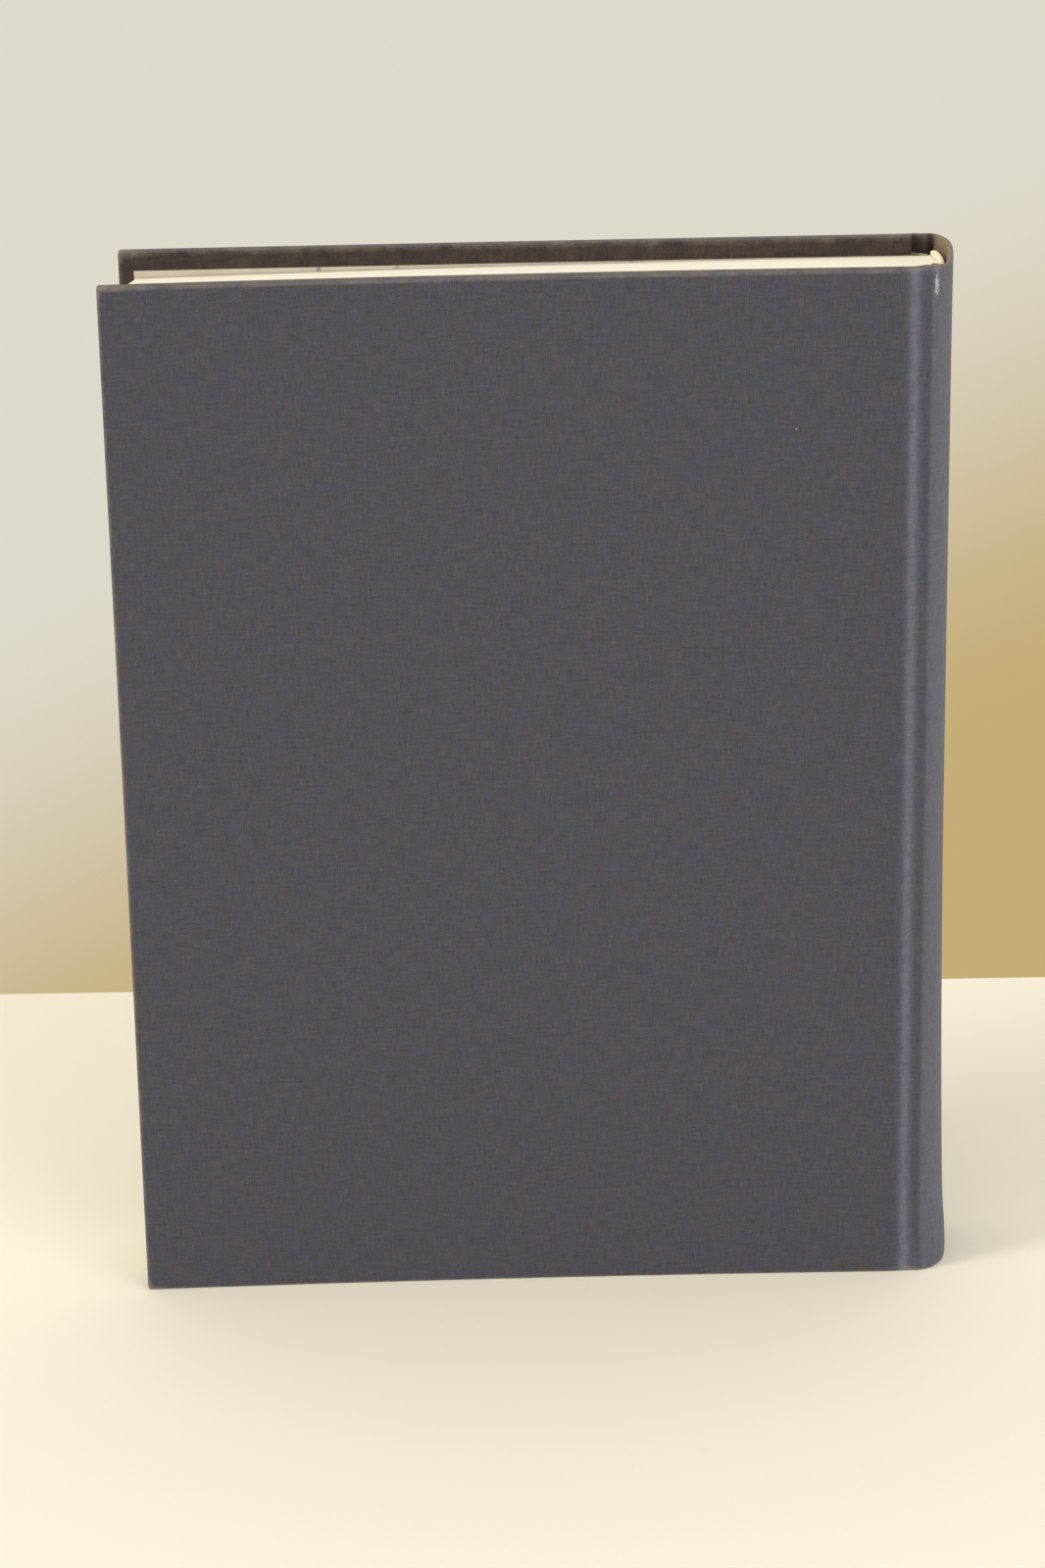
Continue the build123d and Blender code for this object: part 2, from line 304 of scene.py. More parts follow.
def onCase(side, s, share, z):
    # a place on the flat sheet brought onto the case: share 0 is its outside, 1 the turned-in inside
    if s < zoneLength[side]:
        at = section(side, z)
        place = s / zoneLength[side] * (len(at["outer"]) - 1)
        i = min(int(place), len(at["outer"]) - 2)
        if side == back:
            # the cap of the spine has been pulled up a little beside the ridge
            liftAt, liftReach, liftDown = spine["headLiftAt"]
            beside = math.exp(-((s - at["ridge"] - liftAt) / liftReach) ** 2)
            z += spine["headLift"] * beside * math.exp(-max(case["height"] - z, 0) / liftDown)
        outside = Vector(at["outer"][i]).lerp(Vector(at["outer"][i + 1]), place - i)
        inside = Vector(at["inner"][i]).lerp(Vector(at["inner"][i + 1]), place - i)
        point = outside.lerp(inside, share)
    else:
        along = -case["flatByGroove"] - (s - zoneLength[side])
        point = coverPoint(side, along, case["coverLevel"] - caseThickness * share)
    point = warped(side, point, z)
    return Vector((point.x, point.y, z)) * mm


# Sheets are laid out flat and then shaped on the case or on the pages

def flatSlab(name, columns, rows, thickness, rim=0, segments=1, openStart=False):
    # a flat sheet in mm with its thickness, rounded at its rim; an open start has no wall where two sheets meet
    touch = 1e-4
    bpy.ops.object.select_all(action="DESELECT")
    bpy.ops.mesh.primitive_grid_add(x_subdivisions=len(columns) - 1, y_subdivisions=len(rows) - 1, size=1)
    obj = bpy.context.object
    obj.name = name
    obj.data.name = name
    for vertex in obj.data.vertices:
        column = round((vertex.co.x + 0.5) * (len(columns) - 1))
        row = round((vertex.co.y + 0.5) * (len(rows) - 1))
        vertex.co = (columns[column], 0, rows[row])
    applyModifier(obj, "SOLIDIFY", thickness=thickness, offset=-1)

    def onRim(a, b):
        # along a face at one end, or across the thickness at a corner
        def bothAt(k, level):
            return abs(a[k] - level) < touch and abs(b[k] - level) < touch

        atStart = bothAt(0, columns[0])
        if openStart and atStart:
            return False
        ends = (atStart, bothAt(0, columns[-1]), bothAt(2, rows[0]), bothAt(2, rows[-1]))
        return sum(ends) == (1 if abs(a.y - b.y) < touch else 2)

    if rim > 0:
        pickEdges(obj, onRim)
        inEdit(obj, "EDGE", bpy.ops.mesh.bevel, offset=rim, segments=segments, profile=0.5, clamp_overlap=False)
    if openStart:
        pickFaces(obj, lambda face, corners: all(abs(co.x - columns[0]) < touch for co in corners))
        inEdit(obj, "FACE", bpy.ops.mesh.delete, type="FACE")
    return obj


def layUv(obj, name, place):
    # one UV metre is one metre of the piece; place turns a corner into u and v by the way that its face looks
    layer = obj.data.uv_layers.new(name=name)
    for face in obj.data.polygons:
        direction = max(range(3), key=lambda k: abs(face.normal[k]))
        for loop in face.loop_indices:
            u, v = place(direction, obj.data.vertices[obj.data.loops[loop].vertex_index].co)
            layer.data[loop].uv = (u * mm, v * mm)


def alongSheet(direction, co):
    # the weave follows the sheet and turns with its rims
    return co.x + (co.y if direction == 0 else 0), co.z + (co.y if direction == 2 else 0)


def recalculateNormals(obj):
    inEdit(obj, "FACE", bpy.ops.mesh.select_all, action="SELECT")
    inEdit(obj, "FACE", bpy.ops.mesh.normals_make_consistent, inside=False)


def outwards(obj, test):
    # turns all the faces if those that the test picks look the wrong way
    recalculateNormals(obj)
    obj.data.update()
    if sum(test(face) for face in obj.data.polygons) < 0:
        inEdit(obj, "FACE", bpy.ops.mesh.flip_normals)


# the flat sheet has closer rows towards tail and head
rowHeights = [0, 1.6, 2.6, 4, 6, 8.5, 11.5, 15, 20, 27, 36, 47, 60, 75, 91, 108, 125, 142.9]
caseRows = rowHeights + [case["height"] - z for z in reversed(rowHeights[:-1])]


def caseColumns(side):
    # where the flat sheet is divided: closely round the spine and its joint, then every 6 mm over the cover
    zone = zoneLength[side]
    # two columns hold the step in the inside where the board starts
    steps = [lengthAt(side, -case["boardStart"] + 0.38), lengthAt(side, -case["boardStart"] + 0.08)]
    near = [zone * k / 70 for k in range(71)]
    near = [s for s in near if min(abs(s - t) for t in steps) > 0.14] + steps
    window = clothLength[side] - case["turnIn"]
    far = [zone + coverRun * k / 34 for k in range(1, 34)]
    far = [s for s in far if abs(s - window) > 3] + [window, clothLength[side] - 1.6, clothLength[side]]
    return sorted(near + far)


mitre = {"width": 0.45, "depth": 0.3}


def cutMitres(obj, endLength):
    # the mitred corners of the turn-ins: three close cuts at 45 degrees, the middle one sunk
    inside = caseThickness - mitre["depth"]
    for level, down in ((0, -1), (case["height"], 1)):
        corner = Vector((endLength, 0, level))
        normal = Vector((1, 0, -down)).normalized()
        for shift in (-mitre["width"], 0, mitre["width"]):
            pickFaces(obj, lambda face, corners: all(
                co.y > inside and co.x > endLength - 1.2 * case["turnIn"] for co in corners))
            inEdit(obj, "FACE", bpy.ops.mesh.bisect, plane_co=corner + normal * shift, plane_no=normal)
        for vertex in obj.data.vertices:
            co = vertex.co
            onCut = abs((co - corner).dot(normal)) < 0.02
            if onCut and co.y > inside and co.x > endLength - case["turnIn"] - 0.5:
                vertex.co.y -= mitre["depth"]


# Where the cloth is rubbed, where it has changed colour, and where light is painted into it: reaches in mm
wearAndPaintedLight = {
    "edgeInset": 0.3,
    "edgeReach": 1.4,
    "edgeLessOutside": 0.8,
    "cornerReach": 2.0,
    "ridgeReach": 0.7,
    "ridgeDown": 12,
    "slopeFromFloor": 2.2,
    "slopeReach": 6,
    "slopeUp": 2.2,
    "bareReach": 1.2,
    "bareBelowHead": 4.5,
    "bareLength": 5,
    # how far from head and tail the painted pool of light inside the spine reaches
    "spineEndLightInto": 9,
    # width and run of the painted highlight band on the slope of each joint
    "sunFadeAndLightReach": 1.6,
    "sunFadeAndLightInto": 4.5,
}


def paintWearAndLight(obj, side, endLength):
    # one share from 0 to 1 for each kind of wear, fading, painted light and painted shade at each point; the
    # material reads them
    ridgeAt = middleSection[side]["ridge"]
    slope = lengthAt(side, spine["floorStart"][side] - wearAndPaintedLight["slopeFromFloor"])
    shares = {"wornAndEdgeLight": [], "bare": [], "turned": [], "spineEndLight": [], "sunFadeAndLight": []}
    for vertex in obj.data.vertices:
        co = vertex.co
        fromHead = case["height"] - co.z
        toEnd = min(co.z, fromHead)
        toEdge = min(toEnd, endLength - co.x)
        corner = math.exp(-math.hypot(endLength - co.x, toEnd) / wearAndPaintedLight["cornerReach"])
        outside = 1 - easeBetween(co.y, 0.2, caseThickness - 0.1)
        edgeReach = wearAndPaintedLight["edgeReach"] - wearAndPaintedLight["edgeLessOutside"] * outside
        edge = math.exp(-((max(toEdge, 0) - wearAndPaintedLight["edgeInset"]) / edgeReach) ** 2) * (0.7 + 0.3 * outside)
        ridge = math.exp(-((co.x - ridgeAt) / wearAndPaintedLight["ridgeReach"]) ** 2) * outside
        ridge *= 0.12 + 0.88 * math.exp(-fromHead / wearAndPaintedLight["ridgeDown"])
        foot = math.exp(-((co.x - slope) / wearAndPaintedLight["slopeReach"]) ** 2) * outside
        foot *= math.exp(-max(co.z, 0) / wearAndPaintedLight["slopeUp"])
        # worn is real rubbing at the corners, the ridge and the foot of each slope; on the rims it is partly rubbing
        # and partly a painted highlight
        shares["wornAndEdgeLight"].append(min(1.0, 0.75 * edge + 0.8 * corner + 0.8 * ridge + 0.8 * foot))
        through = math.exp(-((co.x - ridgeAt) / wearAndPaintedLight["bareReach"]) ** 2)
        through *= math.exp(-((fromHead - wearAndPaintedLight["bareBelowHead"]) / wearAndPaintedLight["bareLength"]) ** 2)
        shares["bare"].append(outside * through if side == back else 0.0)
        # turned marks the turned-in cloth, which the material darkens: partly its own unfaded colour, partly painted
        # shade inside the case
        shares["turned"].append(easeBetween(co.y, caseThickness * 0.55, caseThickness - 0.2))
        # painted light: a tan pool inside the spine near head and tail
        insideSpine = (1 - outside) * (1 - easeBetween(co.x, ridgeAt - 2.5, ridgeAt + 1.5))
        shares["spineEndLight"].append(insideSpine * math.exp(-max(toEnd, 0) / wearAndPaintedLight["spineEndLightInto"]))
        # the spine is partly faded and partly painted lighter and bluer as if lit, and the slope of each joint gets
        # a painted highlight band
        onSpine = 1 - easeBetween(co.x, ridgeAt + 0.5, ridgeAt + 2.2)
        slopeHighlight = 0.22 + 1.5 * math.exp(-((co.x - slope) / wearAndPaintedLight["sunFadeAndLightReach"]) ** 2)
        slopeHighlight *= 1 - easeBetween(co.x, slope, slope + wearAndPaintedLight["sunFadeAndLightInto"])
        shares["sunFadeAndLight"].append(outside * max(onSpine, slopeHighlight))
    for name, values in shares.items():
        attribute = obj.data.attributes.new(name, "FLOAT", "POINT")
        attribute.data.foreach_set("value", values)


def clothCover(side, name):
    columns = caseColumns(side)
    endLength = columns[-1]
    obj = flatSlab(name, columns, caseRows, caseThickness, case["edgeRound"], 4, True)

    def insideWindow(face, corners):
        return all(
            co.y > caseThickness - 1e-3
            and case["turnIn"] - 1e-3 < co.z < case["height"] - case["turnIn"] + 1e-3
            and co.x < endLength - case["turnIn"] + 1e-3
            for co in corners
        )

    pickFaces(obj, insideWindow)
    inEdit(obj, "FACE", bpy.ops.mesh.delete, type="FACE")
    cutMitres(obj, endLength)
    layUv(obj, "cloth", alongSheet)
    paintWearAndLight(obj, side, endLength)
    for vertex in obj.data.vertices:
        vertex.co = onCase(side, vertex.co.x, vertex.co.y / caseThickness, vertex.co.z)
    outwards(obj, lambda face: face.area * face.normal.y * side * (abs(face.center.y / mm) > 14))
    applyModifier(obj, "SOLIDIFY", thickness=case["cloth"] * mm, offset=-1, use_even_offset=False)
    smoothByAngle(obj, 50)
    if side == back:
        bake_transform(obj)
    else:
        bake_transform(obj)
    return obj


backCloth = clothCover(back, "backCloth")
frontCloth = clothCover(front, "frontCloth")
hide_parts("back_cover_cloth", "spine_cloth")
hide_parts("front_cover_cloth", "spine_cloth")
print("cloth made:", len(backCloth.data.polygons), len(frontCloth.data.polygons), "faces")


board = {"rim": 0.32, "clearOfCloth": 0.43}
boardRows = [case["cloth"]] + [z for z in caseRows if 1.5 < z < case["height"] - 1.5]
boardRows.append(case["height"] - case["cloth"])


def binderBoard(side, name, node, body):
    start = lengthAt(side, -case["boardStart"])
    end = clothLength[side] - board["clearOfCloth"]
    columns = [start] + [s for s in caseColumns(side) if start + 0.5 < s < end - 0.5] + [end]
    obj = flatSlab(name, columns, boardRows, caseThickness - 2 * board["clearOfCloth"], board["rim"], 2)
    for vertex in obj.data.vertices:
        share = (vertex.co.y + board["clearOfCloth"]) / caseThickness
        vertex.co = onCase(side, vertex.co.x, share, vertex.co.z)
    outwards(obj, lambda face: face.area * face.normal.y * side * (abs(face.center.y / mm) > 13.5))
    smoothByAngle(obj, 50)
    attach(obj, body)
    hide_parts(node)
    return obj


backBoard = binderBoard(back, "backBoard", "back_board", "back_cover")
frontBoard = binderBoard(front, "frontBoard", "front_board", "front_cover")

card = {"thickness": 1.0, "rim": 0.15, "shortOfRidge": 2.1}


def spineCard():
    reach = min(middleSection[side]["ridge"] for side in (back, front)) - card["shortOfRidge"]
    columns = [reach * (k / 12 - 1) for k in range(25)]
    obj = flatSlab("spineCard", columns, boardRows, card["thickness"], card["rim"])
    for vertex in obj.data.vertices:
        side = back if vertex.co.x < 0 else front
        share = (vertex.co.y + case["cloth"]) / spine["layers"]
        vertex.co = onCase(side, abs(vertex.co.x), share, vertex.co.z)
    outwards(obj, lambda face: face.area * face.normal.x * (face.center.x / mm > hingeAt[back].x + 6.1))
    smoothByAngle(obj, 50)
    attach(obj, "pages_and_spine")
    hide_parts("spine_inlay")
    return obj


spineInlay = spineCard()
print("boards and spine card made")


# The pages: leaves that fan from the sewing to the fore edge, and the linings on the back of the sewing

leaves = {
    "width": 204.2,
    "foot": 4.8,
    "head": 281.0,
    "half": 10.6,
    "shoulder": 11.4,
    "shoulderRun": 1.4,
    "foreMiddle": -1.25,
    "foreHalf": 9.8,
    "hollow": 0.4,
    "foreStep": 0.9,
    "sag": (0.1, 1.9),
    "unevenFore": 0.07,
    "unevenHead": 0.06,
    "flyleaf": 0.18,
}
depthToPages = spine["layers"] + spine["hollow"]
sewing = []
for side in (back, front):
    at = middleSection[side]
    count = int(at["ridge"] / at["length"] * len(at["outer"]))
    edge = inwards(at["outer"], side, depthToPages)[:count]
    sewing.append(edge[::-1] if side == back else edge[1:])
sewing = np.concatenate(sewing)


def sewingX(level):
    # the back of the sewn pages at a level across the thickness
    return float(np.interp(middleY + level, sewing[:, 1], sewing[:, 0]))


def leafPoint(along, leaf):
    # along 0 at the fore edge and 1 at the sewing; leaf from -1 at the back cover to 1 at the front cover
    rootShare = 1 - leaves["shoulderRun"] / leaves["width"]
    tip = sewingX(leaf * leaves["shoulder"])
    root = Vector((tip - leaves["shoulderRun"], leaf * leaves["half"]))
    foreX = hingeAt[back].x + (hingeAt[front].x - hingeAt[back].x) * (leaf + 1) / 2 - leaves["width"]
    foreX += leaves["hollow"] * (1 - leaf ** 2) - leaves["foreStep"] * easeBetween(1 - leaf, 0, 0.4)
    fore = Vector((foreX, leaves["foreMiddle"] + leaf * leaves["foreHalf"]))
    if along < rootShare:
        point = fore.lerp(root, along / rootShare)
    else:
        t = (along - rootShare) / (1 - rootShare)
        lift = (leaves["shoulder"] - leaves["half"]) * leaf * t * t * (3 - 2 * t)
        point = Vector((root.x + leaves["shoulderRun"] * t, leaf * leaves["half"] + lift))
    return Vector((point.x, middleY + point.y))


def sag(x):
    # the leaves hang lower towards the fore edge
    t = max(hingeAt[front].x - x, 0) / (leaves["width"] + 2)
    return leaves["sag"][0] * t + leaves["sag"][1] * t * t


def alongLeaves(direction, co):
    # each side of the block shows its own two measures
    return ((co.y, co.z), (co.x, co.z), (co.x, co.y))[direction]


def pageBlock():
    length, tall = leaves["width"], leaves["head"] - leaves["foot"]
    columns = [0, 0.4, 1.2, 3, 7]  # closer at the fore edge and at the shoulder
    columns += [14 + (length - 28) * k / 24 for k in range(25)]
    columns += [length - c for c in (7, 4, 2.2, 1.4, 1.1, 0.8, 0.5, 0.2, 0)]
    rows = [leaves["half"] * (k / 38 - 1) for k in range(77)]
    obj = flatSlab("textBlock", columns, rows, tall)
    layUv(obj, "leaves", alongLeaves)
    for vertex in obj.data.vertices:
        along, up, leaf = vertex.co
        place = leafPoint(along / length, leaf / leaves["half"])
        loose = noise.noise(Vector((leaf * 1.9, 3.0, 0))) + 0.6 * noise.noise(Vector((leaf * 0.6, 9.0, 0)))
        place.x += leaves["unevenFore"] * loose * (1 - along / length)
        level = leaves["foot"] + up + leaves["unevenHead"] * loose
        vertex.co = Vector((place.x, place.y, level - sag(place.x))) * mm
    outwards(obj, lambda face: face.area * face.normal.z * (face.center.z > 0.27))
    smoothByAngle(obj, 35)
    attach(obj, "pages_and_spine")
    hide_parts("text_block")
    return obj


textBlock = pageBlock()
pageRows = [leaves["foot"] + (leaves["head"] - leaves["foot"]) * k / 12 for k in range(13)]


def flyleaf(side, name, node):
    # the loose half of the endpaper lies on the outermost leaf and up its shoulder
    length = leaves["width"]
    columns = [length * k / 24 for k in range(24)] + [length - c for c in (3, 1.6, 1.3, 1, 0.7, 0.4, 0.15)]
    obj = flatSlab(name, columns, pageRows, leaves["flyleaf"])
    for vertex in obj.data.vertices:
        place = leafPoint(vertex.co.x / length, side)
        place.y += side * (0.01 + vertex.co.y)
        vertex.co = Vector((place.x, place.y, vertex.co.z - sag(place.x))) * mm
    outwards(obj, lambda face: face.area * face.normal.y * (face.center.y / mm - middleY))
    smoothByAngle(obj, 35)
    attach(obj, "pages_and_spine")
    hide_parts(node)
    return obj


backFlyleaf = flyleaf(back, "backFlyleaf", "back_flyleaf")
frontFlyleaf = flyleaf(front, "frontFlyleaf", "front_flyleaf")


def backStrip(name, reach, low, high, start, thickness):
    # a strip glued on the back of the sewing, from one level across the thickness to the other
    columns = [reach * (k / 14 - 1) for k in range(29)]
    rows = [low + (high - low) * k / 10 for k in range(11)]
    obj = flatSlab(name, columns, rows, thickness)
    for vertex in obj.data.vertices:
        level, out, z = vertex.co
        vertex.co = Vector((sewingX(level) + start + out, middleY + level, z)) * mm
    middle = sewingX(0) - 0.2 + start + thickness / 2
    outwards(obj, lambda face: face.area * face.normal.x * (face.center.x / mm > middle))
    smoothByAngle(obj, 35)
    return obj


# half width, foot, head, start out from the sewing, and thickness
linings = {
    "mull": (10.6, 16.8, 269.0, 0.01, 0.33),
    "kraft": (10.6, 6.8, 279.0, 0.35, 0.25),
}
mull = backStrip("mull", *linings["mull"])
kraft = backStrip("kraftLining", *linings["kraft"])
for piece, node, kind in ((mull, "spine_mull", "mull"), (kraft, "spine_paper_lining", "kraft_lining")):
    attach(piece, "pages_and_spine")
    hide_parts(node)
print("pages and linings made:", len(textBlock.data.polygons), "faces")


# The pasted halves of the endpapers: on the turn-ins, down on the board, and through the joint to the shoulder

paper = {
    "thickness": 0.18,
    "square": 4.8,
    "width": 204.2,
    "gap": 0.02,  # keeps the sheet clear of the cloth and the board
    "stepRun": 1.0,
    "jointEnd": {back: -1.2, front: -2.9},
    "foldRun": 0.9,
    "foldLevel": 11.64,
}


def pastedSheet(side, name, node):
    jointEnd = lengthAt(side, paper["jointEnd"][side])
    boardEdge = lengthAt(side, -case["boardStart"])
    end = clothLength[side] - (case["coverEnd"] - paper["width"])
    edge = clothLength[side] - case["turnIn"]
    columns = [jointEnd - paper["foldRun"] * share for share in (1, 2 / 3, 1 / 3)]
    columns += [s for s in caseColumns(side) if jointEnd <= s < edge - 2]
    columns += [edge - 0.6, edge - 0.2, edge + 0.2, edge + 0.6, edge + 3, edge + 7, end]
    half = [paper["square"], 7, 10, 13, 14.3, 14.7, 15.1, 15.5, 17, 20, 27, 40, 60, 85, 115, 142.9]
    rows = half + [case["height"] - z for z in reversed(half[:-1])]
    obj = flatSlab(name, columns, rows, paper["thickness"])
    layUv(obj, "cloth", alongSheet)
    fold = Vector((sewingX(side * leaves["shoulder"]) - paper["foldRun"], middleY + side * paper["foldLevel"]))
    for vertex in obj.data.vertices:
        s, y, z = vertex.co
        fromEdge = min(z, case["height"] - z)
        onTurnIn = 1 - easeBetween(fromEdge, case["turnIn"] - 0.3, case["turnIn"] + paper["stepRun"])
        onFore = easeBetween(s, edge - paper["stepRun"], edge + 0.3)
        layers = caseThickness - case["cloth"] + case["cloth"] * max(onTurnIn, onFore) + paper["gap"]
        boardShare = (layers + y) / caseThickness
        jointShare = (case["cloth"] * (1 + onTurnIn) + paper["gap"] + y) / (2 * case["cloth"])
        onBoard = easeBetween(s, boardEdge - 0.5, boardEdge + 0.3)
        point = onCase(side, max(s, jointEnd), jointShare * (1 - onBoard) + boardShare * onBoard, z)
        loose = min(max((jointEnd - s) / paper["foldRun"], 0.0), 1.0)
        target = Vector((fold.x + y * 0.3, fold.y, z)) * mm
        vertex.co = point.lerp(target, loose)
    outwards(obj, lambda face: -face.area * face.normal.y * side * (abs(face.center.y / mm) < 11.2))
    smoothByAngle(obj, 40)
    if side == back:
        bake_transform(obj)
    else:
        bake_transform(obj)
    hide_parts(node)
    return obj


backPaper = pastedSheet(back, "backPastedown", "back_pastedown")
frontPaper = pastedSheet(front, "frontPastedown", "front_pastedown")
print("endpapers made")


# Head and tail bands: a rib of cord wrapped in thread, spun round the back of the pages, with its tongue below

band = {
    "bead": 0.9,
    "sides": 14,
    "ribPitch": 0.62,
    "ribDepth": 0.09,
    "stepsPerRib": 4,
    "slimmerAtEnds": 0.35,
    "slimOver": 1.2,
    "inset": 0.35,
    "spinRadius": 40.0,
    "tongue": 12.0,
    "tongueThickness": 0.33,
    "halfWidth": 10.7,
    "level": {"head": 281.85, "tail": 3.95},
}


def spunBand(name, where, node):
    # the rib is spun round a plain circle and then laid along the back of the sewing
    spinRadius, half, level = band["spinRadius"], band["halfWidth"], band["level"][where]
    tongueEnd = leaves["head"] - band["tongue"] if where == "head" else leaves["foot"] + band["tongue"]
    tongue = backStrip(name, half, min(tongueEnd, level), max(tongueEnd, level), 0.01, band["tongueThickness"])
    bpy.ops.object.select_all(action="DESELECT")
    bpy.ops.mesh.primitive_circle_add(
        vertices=band["sides"], radius=band["bead"], fill_type="NGON", location=(0, 0, 0))
    obj = bpy.context.object
    for vertex in obj.data.vertices:
        vertex.co = (spinRadius + vertex.co.x, 0, vertex.co.y)
    steps = round(2 * half / band["ribPitch"] * band["stepsPerRib"])
    pickFaces(obj, lambda face, corners: True)
    inEdit(obj, "FACE", bpy.ops.mesh.spin, steps=steps, angle=1.0, center=(0, 0, 0), axis=(0, 0, 1))
    turns = [math.atan2(v.co.y, v.co.x) for v in obj.data.vertices]
    low, high = min(turns), max(turns)
    for vertex, turn in zip(obj.data.vertices, turns):
        across = half * (2 * (turn - low) / (high - low) - 1)
        out, up = math.hypot(vertex.co.x, vertex.co.y) - spinRadius, vertex.co.z
        slope = (sewingX(across + 0.05) - sewingX(across - 0.05)) / 0.1
        normal = Vector((1, -slope)).normalized()
        rib = 1 + band["ribDepth"] * math.cos(2 * math.pi * across / band["ribPitch"])
        rib *= 1 - band["slimmerAtEnds"] * easeBetween(abs(across), half - band["slimOver"], half)
        heart = Vector((sewingX(across), middleY + across)) - normal * band["inset"]
        place = heart + normal * out * rib
        vertex.co = Vector((place.x, place.y, level + up * rib)) * mm
    recalculateNormals(obj)
    onlyThis(tongue)
    obj.select_set(True)
    bpy.ops.object.join()
    smoothByAngle(tongue, 60)
    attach(tongue, "pages_and_spine")
    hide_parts(node)
    return tongue


headBand = spunBand("headBand", "head", "head_band")
tailBand = spunBand("tailBand", "tail", "tail_band")
print("bands made")


# Materials

def colour(text):
    # an sRGB hex value as linear RGBA
    values = [int(text[i:i + 2], 16) / 255 for i in (1, 3, 5)]
    return [v / 12.92 if v <= 0.04045 else ((v + 0.055) / 1.055) ** 2.4 for v in values] + [1.0]


def node(material, kind, inputs=None, **settings):
    # adds one shader node: sockets by name or number, linked or set, and its settings; a node means its first output
    made = material.node_tree.nodes.new("ShaderNode" + kind)
    for name, value in settings.items():
        setattr(made, name, value)
    for socket, value in (inputs or {}).items():
        if isinstance(value, bpy.types.Node):
            value = value.outputs[0]
        if isinstance(value, bpy.types.NodeSocket):
            material.node_tree.links.new(value, made.inputs[socket])
        else:
            made.inputs[socket].default_value = value
    return made


def product(material, first, second):
    return node(material, "Math", {0: first, 1: second}, operation="MULTIPLY")


def remap(material, value, low, high, toLow=0, toHigh=1):
    # brings the stretch from low to high onto another
    return node(material, "MapRange", {
        "Value": value, "From Min": low, "From Max": high, "To Min": toLow, "To Max": toHigh})


def blended(material, share, below, above):
    # the first colour at share 0, the second at 1
    return node(material, "Mix", {0: share, 6: below, 7: above}, data_type="RGBA").outputs[2]


def grains(material, place, size, detail, roughness=0.5):
    return node(material, "TexNoise", {
        "Vector": place, "Scale": 1 / size, "Detail": detail, "Roughness": roughness})


def setStops(ramp, *stops):
    # positions and colours along a colour ramp
    for k, (position, tint) in enumerate(stops):
        stop = ramp.color_ramp.elements[k] if k < 2 else ramp.color_ramp.elements.new(position)
        stop.position = position
        stop.color = colour(tint)


def newMaterial(name):
    material = bpy.data.materials.new(name)
    material.use_nodes = True
    material.node_tree.nodes.clear()
    return material


def finishMaterial(material, shader):
    node(material, "OutputMaterial", {"Surface": shader.outputs["BSDF"]})
    return material


clothLook = {
    "thread": 0.55 * mm,  # a real thread is 0.35 mm; drawn coarser so that it shows
    "slub": (5 * mm, 0.7 * mm),
    "fleck": 0.5 * mm,
    "dyeCloud": 3.6 * mm,
    "dyes": ((0.34, "#4a4755"), (0.45, "#474a54"), (0.56, "#4a4a4e"), (0.68, "#4f484f")),
    # the faded spine colour, lighter and bluer, with painted window light in it
    "sunFadeAndLight": "#6a6c79",
    "sunFadeAndLightShare": 0.62,
    # the turned-in colours, darkened by painted shade
    "turnInDyeAndShade": ("#382d2e", "#483e33"),
    "turnedPatch": 5 * mm,
    # the colour of the painted pool of light inside the spine
    "litTan": "#8f7c64",
    # the rubbed cotton, also used as a painted highlight on the rims
    "edgeWearAndHighlight": "#8b7f73",
    "bareThread": "#d3cdca",
    "lint": "#c9c5bd",
    "lintApart": 24 * mm,
}


